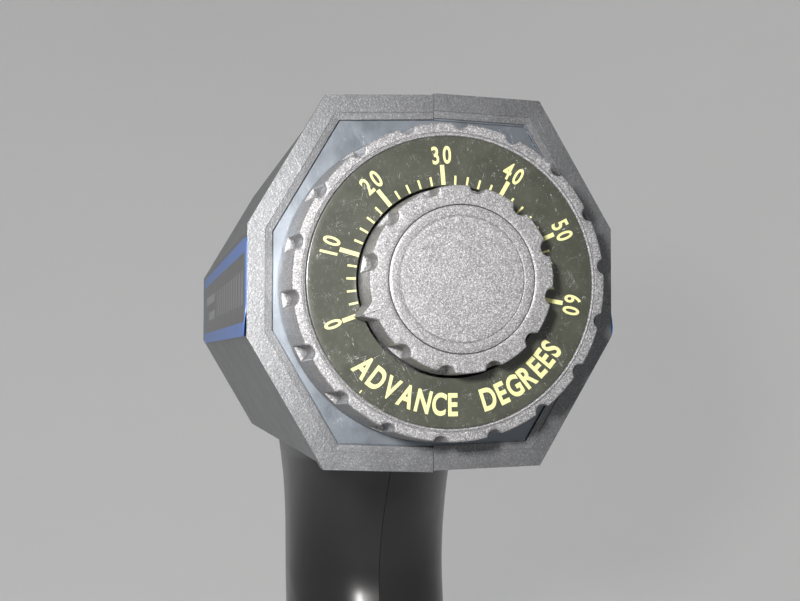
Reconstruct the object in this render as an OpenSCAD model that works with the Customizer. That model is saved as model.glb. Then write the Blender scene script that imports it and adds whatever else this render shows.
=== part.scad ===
// Pistol-grip timing light with an advance dial on its back.
// Frame: origin at the mouth of the lead socket, in the flat butt of the handle.
// +Y is the way the lamp shines, +Z is up, and +X is to the right, seen from behind.

/* [Housing] */
// Height of the dial axis above the butt
axis_z = 150; // [146:0.5:156]
// Distance from the socket axis back to the rim
rim_back = 78; // [77.5:0.1:78.5]
// How far the middle of the body lies above the dial axis
body_lift = 0.7; // [0:0.1:1]
// Half width across the flat sides
body_half_w = 39.4; // [39.2:0.1:40.4]
// Half height at the seam
body_half_h = 40; // [39.8:0.1:41]
// Half height of the flat sides
side_half_h = 11.7; // [11.2:0.1:12.2]
// Half width of the flat top and bottom
top_half_w = 23.3; // [22.8:0.1:23.8]
// Length of the eight-sided body
body_length = 182; // [180:0.5:184]
// Wall thickness
wall = 2.6; // [2.4:0.1:2.8]
// How far the rim stands above the body
rim_step = 0.7; // [0.4:0.1:0.9]
// Depth of the raised rim
rim_depth = 5; // [4:0.5:7]
// Width of the flat band around the back
rim_band = 3.7; // [3.4:0.1:3.9]

/* [Dial] */
// Outer radius of the dial ring at its base
ring_r = 33; // [32.6:0.1:33.2]
// Outer radius of the dial ring at its face
ring_face_r = 32; // [31.7:0.1:32.4]
// How far the dial ring stands out behind the rim
ring_height = 16.5; // [16:0.1:17]
// Number of finger notches in the ring
ring_notches = 18; // [12:1:24]
// Radius of the printed plate
plate_r = 29.2; // [28.8:0.1:29.4]
// Radius of the hole in the printed plate
plate_hole_r = 19.25; // [19.2:0.01:19.4]

/* [Advance knob] */
// Knob radius at its base
knob_r = 18.75; // [18.4:0.05:18.8]
// Knob radius at its face
knob_face_r = 18.25; // [17.9:0.05:18.4]
// How far the knob stands out behind the rim
knob_height = 26.1; // [25.8:0.1:26.6]
// Radius of the tip of the pointer
pointer_r = 21.2; // [20.6:0.1:21.8]
// Angle of the pointer at zero, counter-clockwise from +X, seen from behind
pointer_angle = 200.2; // [190:0.1:210]
// Radius of the cap in the knob
cap_r = 14.4; // [14:0.1:14.6]
// Diameter of the potentiometer shaft
shaft_d = 6; // [6:0.1:6.4]

/* [Lamp] */
// Radius of the barrel that carries the bezel
barrel_r = 28.6; // [28:0.1:29]
// Radius of the lens
lens_r = 27; // [26.6:0.1:27.1]
// Outer radius of the bezel
bezel_r = 31.5; // [31:0.1:33]

/* [Trigger] */
// Width of the trigger
trigger_w = 14; // [13:0.1:14.4]
// Trigger travel
trigger_travel = 5; // [4:0.1:5]

/* [Lead socket] */
// Radius of the socket's bore
socket_r = 8; // [7.5:0.1:8.2]
// Depth of the socket's bore
socket_depth = 12; // [10:0.5:12]

/* [Hidden] */
$fn = 96;
e = 0.01;

// Places along Y, measured from the rim plane
function from_rim(d) = d - rim_back;

// The sloping sides run from (body_half_w, side_half_h) up to the corner of the top
corner_drop = 0.8;
corner_h = body_half_h - corner_drop;
slope_len = norm([top_half_w - body_half_w, corner_h - side_half_h]);
slope_nx = (corner_h - side_half_h) / slope_len;
slope_nz = (body_half_w - top_half_w) / slope_len;
slope_c = slope_nx * body_half_w + slope_nz * side_half_h;

// Outline of the body, moved inwards by one amount on the flat sides and another elsewhere
function outline(side, other) =
    let (w = body_half_w - side, h = corner_h - other,
        a = (slope_c - other - slope_nx * w) / slope_nz,
        b = (slope_c - other - slope_nz * h) / slope_nx)
    [[b, h], [0, h + corner_drop], [-b, h], [-w, a], [-w, -a],
        [-b, -h], [0, -h - corner_drop], [b, -h], [w, -a], [w, a]];

module along_y(y0, y1)
    translate([0, from_rim(y1), axis_z]) rotate([90, 0, 0]) linear_extrude(y1 - y0) children();
module prism(side, other, y0, y1)
    translate([0, 0, body_lift]) along_y(y0, y1) polygon(outline(side, other));
// A round bar or ring about the dial axis
module disc(r, y0, y1) along_y(y0, y1) circle(r);
module ring(r0, r1, y0, y1) along_y(y0, y1) difference() { circle(r1); circle(r0); }
// Tapered bar about the dial axis, with radius ra at y0 and rb at y1
module cone(ra, rb, y0, y1)
    translate([0, from_rim(y0), axis_z]) rotate([-90, 0, 0]) cylinder(r1 = ra, r2 = rb, h = y1 - y0);
// A box from one corner to the other
module block(p, q) translate(p) cube(q - p);
// A bar along X
module cross_bar(r, y, z, x0, x1)
    translate([x0, y, z]) rotate([0, 90, 0]) cylinder(r = r, h = x1 - x0);

// A skin over a stack of rings of points, all with the same number of points
module skin(rings) {
    n = len(rings[0]);
    m = len(rings);
    points = [for (r = rings) for (p = r) p];
    sides = [for (k = [0 : m - 2]) for (i = [0 : n - 1])
        let (j = (i + 1) % n)
        each [[k * n + i, (k + 1) * n + j, k * n + j], [k * n + i, (k + 1) * n + i, (k + 1) * n + j]]];
    polyhedron(points, concat(sides,
        [[for (i = [0 : n - 1]) i]], [[for (i = [n - 1 : -1 : 0]) (m - 1) * n + i]]));
}

// A round cable along a route in a plane of constant X
module cable(route, r, sides = 8) {
    n = len(route);
    rings = [for (k = [0 : n - 1])
        let (d = route[min(k + 1, n - 1)] - route[max(k - 1, 0)], t = d / norm(d), up = cross([1, 0, 0], t))
        [for (i = [0 : sides - 1]) route[k] + r * (cos(360 * i / sides) * [1, 0, 0]
            + sin(360 * i / sides) * up)]];
    skin(rings);
}

// Smooth curve through evenly numbered stations: value of column c at position t
function station(t, c, s) =
    let (last = len(s) - 1, k = min(floor(t), last - 1), u = t - k,
        p0 = s[max(k - 1, 0)][c], p1 = s[k][c], p2 = s[k + 1][c], p3 = s[min(k + 2, last)][c])
    p1 + 0.5 * u * (p2 - p0 + u * (2 * p0 - 5 * p1 + 4 * p2 - p3 + u * (3 * (p1 - p2) + p3 - p0)));

// Handle stations: depth below the dial axis, back and front from the rim plane, half width
grip = [[150, 51.6, 103.8, 22.6], [145, 51.8, 103.6, 22.4], [138, 52.7, 102.4, 21.6], [120, 54, 102.6, 21.1],
    [104, 56.4, 105, 21], [90, 60.4, 108, 21], [80, 63.3, 110, 21], [72, 64.7, 111.5, 21],
    [64, 63.2, 113.5, 21], [56, 59.1, 117, 21.1], [47, 52.2, 124, 21.5], [36, 43, 135, 22.6]];
grip_front_power = 2.7;
grip_back_power = 2.1;
grip_points = 36;
function sign_power(v, p) = sign(v) * pow(abs(v), p);
function grip_ring(t, inset, lift) =
    let (z = axis_z - station(t, 0, grip) + lift, back = station(t, 1, grip) + inset,
        front = station(t, 2, grip) - inset, w = station(t, 3, grip) - inset)
    [for (i = [0 : grip_points - 1])
        let (a = 360 * i / grip_points, power = 2 / (sin(a) < 0 ? grip_back_power : grip_front_power))
        [w * sign_power(cos(a), power),
            from_rim((back + front) / 2) + (front - back) / 2 * sign_power(sin(a), power), z]];
module grip_skin(inset, lift)
    skin([for (k = [0 : 2 * (len(grip) - 1)]) grip_ring(k / 2, inset, lift)]);

// Nose: the body narrows to a smaller eight-sided face, which carries the round barrel
nose_end = body_length + 10;
nose_scale = 0.85;
barrel_end = body_length + 20;
// One ring of points for skin(): an outline at a place along Y, made smaller by a scale
function outline_ring(side, other, y, scale) =
    let (o = outline(side, other))
    [for (i = [len(o) - 1 : -1 : 0]) [o[i][0] * scale, from_rim(y), axis_z + (body_lift + o[i][1]) * scale]];
module nose(inset)
    skin([outline_ring(inset, rim_step + inset, body_length, 1),
        outline_ring(inset, rim_step + inset, nose_end, nose_scale)]);

// Back plate seat: a slightly sloping ledge inside the rim, then a groove that holds the plate
ledge_in = rim_band + 1.5;
ledge_drop = 0.3;
plate_face = 1.1;
plate_t = 2.4;
groove_in = 3;

module outer_form() {
    prism(0, 0, 0, rim_depth);
    prism(0, rim_step, rim_depth, body_length);
    nose(0);
    disc(barrel_r, nose_end - 1, barrel_end);
    grip_skin(0, 0);
}
module cavity_form() {
    prism(wall, wall + rim_step, plate_face + plate_t + 2, body_length);
    nose(wall);
    disc(barrel_r - 2.4, nose_end - 6, barrel_end + 1);
    grip_skin(wall, 3.2);
}
// The rim opening, with its ledge and the groove for the back plate
module rear_opening() {
    skin([outline_ring(rim_band, rim_band, -1, 1), outline_ring(rim_band, rim_band, ledge_drop, 1),
        outline_ring(ledge_in, ledge_in, ledge_drop + 0.1, 1)]);
    prism(ledge_in, ledge_in, ledge_drop - 0.1, plate_face + plate_t + 3);
    prism(groove_in, groove_in, plate_face, plate_face + plate_t + 0.05);
}

// Six identical screws close the housing: place along Y, place along Z
screw_places = [[-50, axis_z + 27], [12, axis_z + 28.5], [89, axis_z + 27],
    [-50, axis_z - 27], [89, axis_z - 27], [14, 46]];
screw_floor = 14;
screw_tip = 11;
screw_r = 1.45;
head_r = 3.1;
boss_r = 4.6;
post_r = 5.6;

// Trigger slot and its guide in the front of the handle
trigger_z = axis_z - 67;
trigger_h = 26;
trigger_back = 102.5;
lip_t = 2.4;
guide_back = trigger_back + lip_t + 0.1;
slot_gap = 0.3;
module slot_form(gap, y0, y1)
    block([-trigger_w / 2 - gap, from_rim(y0), trigger_z - trigger_h / 2 - gap],
        [trigger_w / 2 + gap, from_rim(y1), trigger_z + trigger_h / 2 + gap]);

// Switch and spring seat behind the trigger
switch_back = 86;
switch_front = 97;
switch_z = trigger_z - 7;
spring_z = trigger_z + 7;
spring_seat = 88;
// Ribs that hold the circuit board by its edges
board_z = axis_z - 15.6;
board_t = 1.6;
board_half_w = 31.5;
board_y0 = 34;
board_y1 = 152;
// Socket flange, held between the butt and a rib
flange_z = 3.25;
flange_t = 2.4;
socket_shell_r = 10.9;
flange_r = 13.4;

module inner_ribs() {
    for (s = screw_places) cross_bar(boss_r, s[0], s[1], -body_half_w, 0);
    for (s = screw_places) cross_bar(post_r, s[0], s[1], 0, body_half_w);
    for (z = [board_z - 2.05, board_z + board_t + 0.05])
        for (side = [-1, 1])
            block([min(side * (board_half_w - 2), side * body_half_w), from_rim(40), z],
                [max(side * (board_half_w - 2), side * body_half_w), from_rim(146), z + 2]);
    block([-10.5, from_rim(guide_back), trigger_z - 17], [10.5, from_rim(129), trigger_z + 17]);
    block([-24, from_rim(spring_seat - 1.8), spring_z - 5], [24, from_rim(spring_seat), spring_z + 5]);
    for (side = [-1, 1])
        cross_bar(3, from_rim(91.5), switch_z, side < 0 ? -24 : 5.6, side < 0 ? -5.6 : 24);
    translate([0, 0, flange_z + flange_t + 0.1]) cylinder(r = 40, h = 2);
    ring(reflector_r + 0.4, body_half_w, nose_end - 2.4, nose_end);
}
reflector_r = 25.6;

module shell_form()
    difference() {
        outer_form();
        difference() {
            cavity_form();
            inner_ribs();
        }
        rear_opening();
        slot_form(slot_gap, guide_back - 1, 134);
        translate([0, 0, -1]) cylinder(r = socket_shell_r + 0.1, h = 12);
    }
seam_gap = 0.05;
module half_space(side)
    block([side < 0 ? -60 : seam_gap, -120, -10], [side < 0 ? -seam_gap : 60, 160, 220]);

module left_housing() color([0.33, 0.33, 0.35])
    difference() {
        intersection() { shell_form(); half_space(-1); }
        for (s = screw_places) cross_bar(screw_r + 0.05, s[0], s[1], -screw_tip - 0.6, 1);
    }
module right_housing() color([0.30, 0.30, 0.32])
    difference() {
        intersection() { shell_form(); half_space(1); }
        for (s = screw_places) {
            cross_bar(screw_r + 0.25, s[0], s[1], -1, screw_floor + 1);
            cross_bar(head_r + 0.5, s[0], s[1], screw_floor, body_half_w + 2);
        }
    }
module housing_screws() color([0.62, 0.62, 0.64])
    for (s = screw_places)
        difference() {
            union() {
                cross_bar(screw_r, s[0], s[1], -screw_tip, screw_floor + 0.5);
                cross_bar(head_r, s[0], s[1], screw_floor, screw_floor + 2.2);
            }
            for (a = [0, 90])
                translate([screw_floor + 1.2, s[0], s[1]]) rotate([a, 0, 0])
                    translate([0, -2, -0.4]) cube([2, 4, 0.8]);
        }

// Labels lie on the flat sides
label_t = 0.2;
label_low = -10.8;
label_high = 9.9;
label_end = 172;
module side_label(side)
    block([side < 0 ? -body_half_w - label_t : body_half_w, from_rim(0.6), axis_z + label_low],
        [side < 0 ? -body_half_w : body_half_w + label_t, from_rim(label_end), axis_z + label_high]);
module label_left() color([0.25, 0.40, 0.68]) side_label(-1);
module label_right() color([0.25, 0.40, 0.68]) side_label(1);

// Back plate, with a hollow collar that the dial ring turns on and the potentiometer sits in
collar_r = 14;
collar_in = 12;
collar_end = -8;
collar_floor = 2;
bushing_r = 4.75;
bushing_end = -14;
module back_plate() color([0.42, 0.46, 0.50])
    difference() {
        union() {
            prism(groove_in + 0.1, groove_in + 0.1, plate_face + 0.05, plate_face + plate_t);
            disc(collar_r, collar_end, plate_face + plate_t);
        }
        disc(collar_in, collar_end + collar_floor, plate_face + plate_t + 1);
        disc(bushing_r + 0.1, collar_end - 1, plate_face);
    }
friction_t = 0.6;
module friction_washer() color([0.75, 0.70, 0.55])
    ring(collar_r + 0.3, collar_r + 5, plate_face + 0.05 - friction_t, plate_face + 0.05);

// Dial ring: skirt, front wall, inner sleeve, and a hub that runs on the collar
ring_base = 0.4;
skirt_t = 2.2;
front_t = 2.3;
sleeve_r = 21.2;
web_y = -1.5;
plate_seat = 0.5;
notch_r = 1.55;
notch_floor = -4;
notch_angle = 6.3;
hub_r = 16.2;
hub_end = -7.7;
// Turns its children about the dial axis, counter-clockwise seen from behind
module about_dial(angle)
    translate([0, 0, axis_z]) rotate([0, -angle, 0]) translate([0, 0, -axis_z]) children();
module dial_ring() color([0.45, 0.45, 0.46])
    difference() {
        cone(ring_face_r, ring_r, -ring_height, ring_base);
        difference() {
            cone(ring_face_r - skirt_t, ring_r - skirt_t, -ring_height + front_t, ring_base + e);
            disc(sleeve_r, -ring_height, ring_base + 1);
        }
        difference() {
            disc(plate_hole_r, -ring_height - 1, web_y);
            disc(hub_r, hub_end, ring_base);
        }
        disc(collar_r + 0.06, -ring_height - 1, ring_base + 1);
        disc(plate_r + 0.15, -ring_height - 1, -ring_height + plate_seat);
        for (k = [0 : ring_notches - 1])
            about_dial(notch_angle + k * 360 / ring_notches)
                translate([ring_face_r + 0.35, 0, 0]) disc(notch_r, -ring_height - 1, notch_floor);
    }
plate_top = ring_height + 0.3;
module dial_plate() color([0.16, 0.17, 0.14])
    ring(plate_hole_r, plate_r, -plate_top, -ring_height + plate_seat);

// Potentiometer: can, threaded bushing with a nut and a wide washer, three lugs, and the shaft
pot_r = 11.6;
pot_end = 5;
washer_t = 0.9;
nut_t = 2.3;
shaft_gap = 0.05;
shaft_in = -3;
shaft_out = -21.2;
module pot_body() color([0.70, 0.70, 0.68])
    difference() {
        union() {
            disc(pot_r, collar_end + collar_floor, pot_end);
            disc(bushing_r, bushing_end, collar_end + collar_floor + 1);
        }
        disc(shaft_d / 2 + shaft_gap, bushing_end - 1, shaft_in + 0.5);
    }
module retaining_washer() color([0.75, 0.75, 0.75])
    ring(bushing_r + 0.1, hub_r - 0.4, collar_end - washer_t, collar_end);
module pot_nut() color([0.72, 0.72, 0.70])
    along_y(collar_end - washer_t - nut_t, collar_end - washer_t)
        difference() { circle(r = 7, $fn = 6); circle(bushing_r + 0.05); }
module pot_lugs() color([0.80, 0.72, 0.45])
    for (x = [-5, 0, 5])
        block([x - 1, from_rim(pot_end), axis_z - 16], [x + 1, from_rim(pot_end + 0.6), axis_z - 6]);
module pot_shaft() color([0.75, 0.75, 0.77])
    difference() {
        disc(shaft_d / 2, shaft_out, shaft_in);
        disc(1.25, shaft_out - 1, shaft_out + 7);
    }

// Knob: a cup with a pointer, finger notches and a hub on the shaft; the cap covers its screw
knob_base = -15.5;
knob_wall = 2;
knob_floor = -22.4;
cap_seat = -24.6;
knob_hub_r = 6;
knob_divisions = 12;
knob_notch_r = 1.7;
pointer_gap = 0.3;
pointer_root = 4.7;
pointer_in = 13;
module knob_skirt(less, y0, y1)
    cone(knob_face_r - less, knob_r - less, y0, y1);
module advance_knob() color([0.44, 0.44, 0.45])
    difference() {
        union() {
            knob_skirt(0, -knob_height - 1, knob_base);
            about_dial(pointer_angle) along_y(-knob_height - 1, -plate_top - pointer_gap)
                polygon([[pointer_r, 0], [pointer_in, pointer_root], [pointer_in, -pointer_root]]);
        }
        difference() {
            knob_skirt(knob_wall, knob_floor, knob_base + 1);
            disc(knob_hub_r, knob_floor - 1, knob_base + 2);
        }
        disc(pointer_r + 2, -knob_height - 2, -knob_height);
        disc(cap_r + 0.12, -knob_height - 1, cap_seat);
        disc(head_r + 0.3, -knob_height - 1, cap_seat + 1.9);
        disc(1.6, -knob_height, shaft_out);
        disc(shaft_d / 2 + 0.02, shaft_out - 0.05, knob_base + 1);
        for (k = [1 : knob_divisions - 1])
            about_dial(pointer_angle + k * 360 / knob_divisions)
                translate([knob_face_r + 0.35, 0, 0]) disc(knob_notch_r, -knob_height - 1, -plate_top - 0.9);
    }
module knob_screw() color([0.70, 0.70, 0.72]) {
    disc(1.2, cap_seat + 1.5, shaft_out + 6);
    difference() {
        disc(head_r - 0.1, cap_seat + 0.1, cap_seat + 1.85);
        for (a = [0, 90])
            about_dial(a) along_y(cap_seat - 1, cap_seat + 0.9) square([4, 0.8], center = true);
    }
}
module knob_cap() color([0.46, 0.46, 0.47]) {
    disc(cap_r, -knob_height, cap_seat - 0.05);
    disc(12.3, -knob_height - 0.2, -knob_height + e);
}

// Trigger: a rounded finger piece, a lip behind the slot, and a spigot for the spring
trigger_front = 118;
spigot_r = 2.2;
module trigger() color([0.10, 0.10, 0.11])
    difference() {
        union() {
            intersection() {
                slot_form(0, trigger_back, 134);
                union() {
                    block([-20, from_rim(trigger_back), 0], [20, from_rim(109), axis_z]);
                    cross_bar(60, from_rim(trigger_front + 2 - 60), trigger_z + 2, -20, 20);
                }
            }
            block([-9, from_rim(trigger_back), trigger_z - 16], [9, from_rim(trigger_back + lip_t), trigger_z + 16]);
            translate([0, from_rim(trigger_back), spring_z]) rotate([90, 0, 0]) cylinder(r = spigot_r, h = 3.5);
        }
        cross_bar(26, from_rim(trigger_front + 23.5), trigger_z - 1, -20, 20);
    }
spring_r = 3.1;
wire_r = 0.4;
spring_turns = 6;
module trigger_spring() color([0.75, 0.75, 0.78]) {
    length = trigger_back - spring_seat - 2 * wire_r - 0.1;
    steps = spring_turns * 16;
    skin([for (k = [0 : steps])
        let (a = k * 360 / 16, y = from_rim(spring_seat + wire_r + 0.05 + length * k / steps))
        [for (i = [0 : 5])
            let (b = 60 * i, q = spring_r + wire_r * cos(b))
            [q * sin(a), y + wire_r * sin(b), spring_z + q * cos(a)]]]);
}
plunger_r = 1.6;
module trigger_switch() color([0.12, 0.12, 0.13])
    difference() {
        block([-5.5, from_rim(switch_back), switch_z - 5], [5.5, from_rim(switch_front), switch_z + 5]);
        translate([0, from_rim(switch_back + 2), switch_z]) rotate([-90, 0, 0])
            cylinder(r = plunger_r + 0.06, h = 20);
    }
module switch_plunger() color([0.80, 0.15, 0.12])
    translate([0, from_rim(switch_back + 2 + trigger_travel + 0.6), switch_z]) rotate([-90, 0, 0])
        cylinder(r = plunger_r, h = trigger_back - switch_back - 2 - trigger_travel - 0.6);

// Lamp: bezel on the barrel, gasket, lens, mirror, tube and its socket
gasket_t = 1.8;
lens_edge = 3.4;
lip_depth = 4;
lens_dome_r = 75;
lens_apex = 7.4;
bezel_back = nose_end + 2;
lens_back = barrel_end + 0.1 + gasket_t;
bezel_end = lens_back + lens_edge + lip_depth + 0.1;
module nose_bezel() color([0.09, 0.09, 0.10])
    difference() {
        union() {
            disc(bezel_r, bezel_back, bezel_end - 1.5);
            cone(bezel_r, bezel_r - 1.5, bezel_end - 1.5, bezel_end);
        }
        disc(barrel_r + 0.06, bezel_back - 1, barrel_end + 0.06);
        disc(lens_r + 0.1, barrel_end, bezel_end - lip_depth);
        cone(lens_r - 2.2, lens_r - 0.8, bezel_end - lip_depth - 1, bezel_end + 0.1);
        for (k = [0 : 23])
            about_dial(k * 15) translate([bezel_r + 0.7, 0, 0]) disc(1.3, bezel_back - 1, bezel_end - 3.5);
    }
module lens_gasket() color([0.05, 0.05, 0.05])
    ring(lens_r - 2.4, lens_r, barrel_end + 0.05, barrel_end + 0.05 + gasket_t);
module lens() color([0.85, 0.90, 0.95, 0.5])
    intersection() {
        disc(lens_r, lens_back, lens_back + 20);
        translate([0, from_rim(lens_back + lens_apex - lens_dome_r), axis_z]) sphere(lens_dome_r, $fn = 200);
    }
mirror_depth = 20;
mirror_t = 0.8;
mirror_front = nose_end + 6;
function mirror_r(d) = 6 + 16.5 * sqrt(d / mirror_depth);
module reflector() color([0.85, 0.86, 0.88])
    translate([0, from_rim(mirror_front), axis_z]) rotate([90, 0, 0]) rotate_extrude()
        polygon(concat([for (k = [0 : 10]) [mirror_r(k * mirror_depth / 10), mirror_depth - k * mirror_depth / 10]],
            [[reflector_r, 0], [reflector_r, 1.5]],
            [for (k = [10 : -1 : 0]) [mirror_r(k * mirror_depth / 10) + mirror_t, mirror_depth - k * mirror_depth / 10 + (k == 10 ? 1.5 : 0)]]));
tube_r = 1.9;
tube_spread = 3.6;
socket_face = mirror_front - mirror_depth;
module flash_tube() color([0.90, 0.92, 0.95, 0.6]) {
    for (x = [-tube_spread, tube_spread])
        translate([x, 0, 0]) disc(tube_r, socket_face - 3, socket_face + 10);
    translate([0, from_rim(socket_face + 10), axis_z])
        rotate_extrude(angle = 180) translate([tube_spread, 0]) circle(tube_r);
}
module tube_socket() color([0.88, 0.86, 0.80])
    difference() {
        union() {
            disc(9, socket_face - 9, socket_face - 1);
            disc(5.95, socket_face - 2, socket_face - 0.1);
        }
        for (x = [-tube_spread, tube_spread])
            translate([x, 0, 0]) disc(tube_r + 0.05, socket_face - 3.05, socket_face + 1);
    }

// Circuit board and what is soldered to it
board_top = board_z + board_t;
module circuit_board() color([0.15, 0.35, 0.18])
    block([-board_half_w, from_rim(board_y0), board_z], [board_half_w, from_rim(board_y1), board_top]);
core = [24, 30, 26];
core_y = 62;
core_leg = 6;
module on_board(x, y, size)
    block([x - size[0] / 2, from_rim(y - size[1] / 2), board_top],
        [x + size[0] / 2, from_rim(y + size[1] / 2), board_top + size[2]]);
module transformer_core() color([0.30, 0.28, 0.27])
    difference() {
        on_board(0, core_y, core);
        for (side = [-1, 1])
            block([-20, from_rim(core_y + side * 6.25 - 3.25), board_top + core_leg],
                [20, from_rim(core_y + side * 6.25 + 3.25), board_top + core[2] - core_leg]);
    }
module transformer_coil() color([0.80, 0.62, 0.20])
    difference() {
        block([-16.4, from_rim(core_y - 9.4), board_top + core_leg + 0.1],
            [16.4, from_rim(core_y + 9.4), board_top + core[2] - core_leg - 0.1]);
        block([-12.1, from_rim(core_y - 3.1), board_top], [12.1, from_rim(core_y + 3.1), board_top + 30]);
    }
can_r = 10;
module storage_capacitor() color([0.12, 0.20, 0.45])
    translate([-16, 0, board_top + can_r - axis_z]) disc(can_r, 86, 122);
module trigger_coil() color([0.55, 0.30, 0.12])
    translate([16, 0, board_top + 6.5 - axis_z]) {
        ring(3.1, 6.5, 104, 122);
        disc(3, 100, 126);
    }
module film_capacitors() color([0.75, 0.28, 0.10])
    for (k = [0 : 2]) on_board(8 + 8 * k, 92, [5.5, 14, 11]);
module resistors() color([0.70, 0.60, 0.42])
    for (k = [0 : 5])
        translate([-22 + 8 * k, 0, board_top + 1.7 - axis_z]) disc(1.6, 134, 142);
module power_transistor() color([0.13, 0.13, 0.14]) {
    on_board(-22, 44, [10, 4.5, 15]);
    on_board(-22, 46.95, [10, 1.4, 19]);
}
module board_connectors() color([0.92, 0.90, 0.84]) {
    block([-6, from_rim(72), board_z - 8], [6, from_rim(80), board_z]);
    on_board(0, 40, [8, 6, 7]);
    on_board(0, 148.5, [10, 6, 7]);
}

// Lead socket in the butt: shell with a flange, contact block and four contacts
block_t = 9;
socket_step_r = socket_r - 0.6;
module lead_socket() color([0.10, 0.10, 0.11])
    difference() {
        union() {
            cylinder(r = socket_shell_r, h = socket_depth + block_t + 1);
            translate([0, 0, flange_z]) cylinder(r = flange_r, h = flange_t);
        }
        translate([0, 0, -1]) cylinder(r = socket_r, h = socket_depth + 1);
        cylinder(r = socket_step_r, h = socket_depth + block_t + 3);
    }
module contact_block() color([0.85, 0.83, 0.78])
    difference() {
        translate([0, 0, socket_depth]) cylinder(r = socket_step_r - 0.03, h = block_t);
        for (a = [45 : 90 : 315])
            rotate([0, 0, a]) translate([4.6, 0, socket_depth - 1]) cylinder(r = 1.25, h = block_t + 2);
    }
module socket_contacts() color([0.83, 0.68, 0.30])
    for (a = [45 : 90 : 315])
        rotate([0, 0, a]) translate([4.6, 0, socket_depth]) difference() {
            cylinder(r = 1.2, h = block_t + 2.5);
            translate([0, 0, -1]) cylinder(r = 0.7, h = 8);
        }

// Wire looms: routes as [0, y, z] points, bent smoothly by stations along each route
module loom(x, route, r)
    cable([for (k = [0 : 3 * (len(route) - 1)]) [x, station(k / 3, 0, route), station(k / 3, 1, route)]], r);
socket_top = socket_depth + block_t + 2.5;
module handle_loom() color([0.08, 0.08, 0.09])
    loom(0, [[0, socket_top + 0.3], [0, 32], [-1, 48], [-3, 64], [-3, 82], [-1, 104], [-1.5, board_z - 8.2]], 2.4);
module lamp_loom() color([0.60, 0.10, 0.08])
    loom(0, [[from_rim(148.5), board_top + 7.4], [from_rim(148.5), board_top + 11], [from_rim(156), axis_z - 1],
        [from_rim(socket_face - 9.2), axis_z]], 1.5);
module dial_loom() color([0.10, 0.25, 0.55])
    loom(0, [[from_rim(pot_end + 0.8), axis_z - 12], [from_rim(14), axis_z - 11], [from_rim(25), axis_z - 6],
        [from_rim(37), axis_z + 2], [from_rim(40), board_top + 14], [from_rim(40), board_top + 7.2]], 1.4);
module switch_loom() color([0.55, 0.55, 0.10])
    loom(4.2, [[from_rim(switch_back - 0.3), switch_z], [from_rim(83), switch_z], [from_rim(80), switch_z + 6],
        [from_rim(78), switch_z + 22], [from_rim(77), board_z - 8.2]], 1.1);

left_housing();
right_housing();
housing_screws();
label_left();
label_right();
back_plate();
dial_ring();
dial_plate();
friction_washer();
retaining_washer();
pot_body();
pot_nut();
pot_lugs();
pot_shaft();
advance_knob();
knob_screw();
knob_cap();
trigger();
trigger_spring();
trigger_switch();
switch_plunger();
nose_bezel();
lens();
lens_gasket();
reflector();
flash_tube();
tube_socket();
circuit_board();
transformer_core();
transformer_coil();
storage_capacitor();
trigger_coil();
film_capacitors();
resistors();
power_transistor();
board_connectors();
lead_socket();
contact_block();
socket_contacts();
handle_loom();
lamp_loom();
dial_loom();
switch_loom();
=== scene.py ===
"""Looks for the pistol-grip timing light: detailed pieces, materials, light and camera.

Lengths in the tables below are millimetres; radii and depths are about the dial axis and the rim plane.
"""
import math

import bmesh
import bpy
from mathutils import Matrix, Vector


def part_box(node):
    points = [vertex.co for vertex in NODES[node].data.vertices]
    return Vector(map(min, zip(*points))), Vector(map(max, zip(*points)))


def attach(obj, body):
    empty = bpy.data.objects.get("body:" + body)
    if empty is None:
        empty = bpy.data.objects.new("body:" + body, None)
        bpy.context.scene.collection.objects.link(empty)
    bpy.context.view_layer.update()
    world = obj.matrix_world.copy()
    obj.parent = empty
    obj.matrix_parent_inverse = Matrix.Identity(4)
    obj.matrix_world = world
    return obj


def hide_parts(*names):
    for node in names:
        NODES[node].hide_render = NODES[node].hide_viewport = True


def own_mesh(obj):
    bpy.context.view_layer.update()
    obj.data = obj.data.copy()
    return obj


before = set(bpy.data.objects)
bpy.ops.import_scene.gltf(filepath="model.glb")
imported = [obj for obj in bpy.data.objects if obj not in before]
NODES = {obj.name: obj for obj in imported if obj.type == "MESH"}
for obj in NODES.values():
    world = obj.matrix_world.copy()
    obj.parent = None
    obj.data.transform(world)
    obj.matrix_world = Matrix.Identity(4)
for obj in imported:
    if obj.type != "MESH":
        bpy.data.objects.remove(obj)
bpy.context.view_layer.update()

MM = 0.001
# Rim plane along Y, and height of the dial axis
RIM = -78.0
AXIS = 150.0


# ---------------------------------------------------------------- small helpers

def place(x, depth, z):
    """A point in metres, from millimetres: across, behind the rim plane, and up from the dial axis."""
    return Vector((x, RIM + depth, AXIS + z)) * MM


def smooth(t):
    t = min(max(t, 0.0), 1.0)
    return t * t * (3 - 2 * t)


def make(name, verts, faces, look, body, replaces=(), sharp=35):
    """A mesh piece that rides on a body."""
    mesh = bpy.data.meshes.new(name)
    mesh.from_pydata(verts, [], faces)
    return finish_piece(name, mesh, look, body, replaces, sharp)


def finish_piece(name, mesh, look, body, replaces=(), sharp=35, indices=None):
    """Shades a mesh with flat faces kept flat, and puts it on its body under its slot."""
    looks = look if isinstance(look, (list, tuple)) else [look]
    mesh.materials.clear()
    for one in looks:
        mesh.materials.append(one)
    if indices:
        mesh.polygons.foreach_set("material_index", indices)
    mesh.shade_smooth()
    mesh.set_sharp_from_angle(angle=math.radians(sharp))
    piece = bpy.data.objects.new(name, mesh)
    bpy.context.scene.collection.objects.link(piece)
    flat = piece.modifiers.new("flat_faces", "WEIGHTED_NORMAL")
    flat.keep_sharp = True
    flat.weight = 100
    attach(piece, body)
    if replaces:
        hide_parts(*replaces)
    return piece


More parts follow.
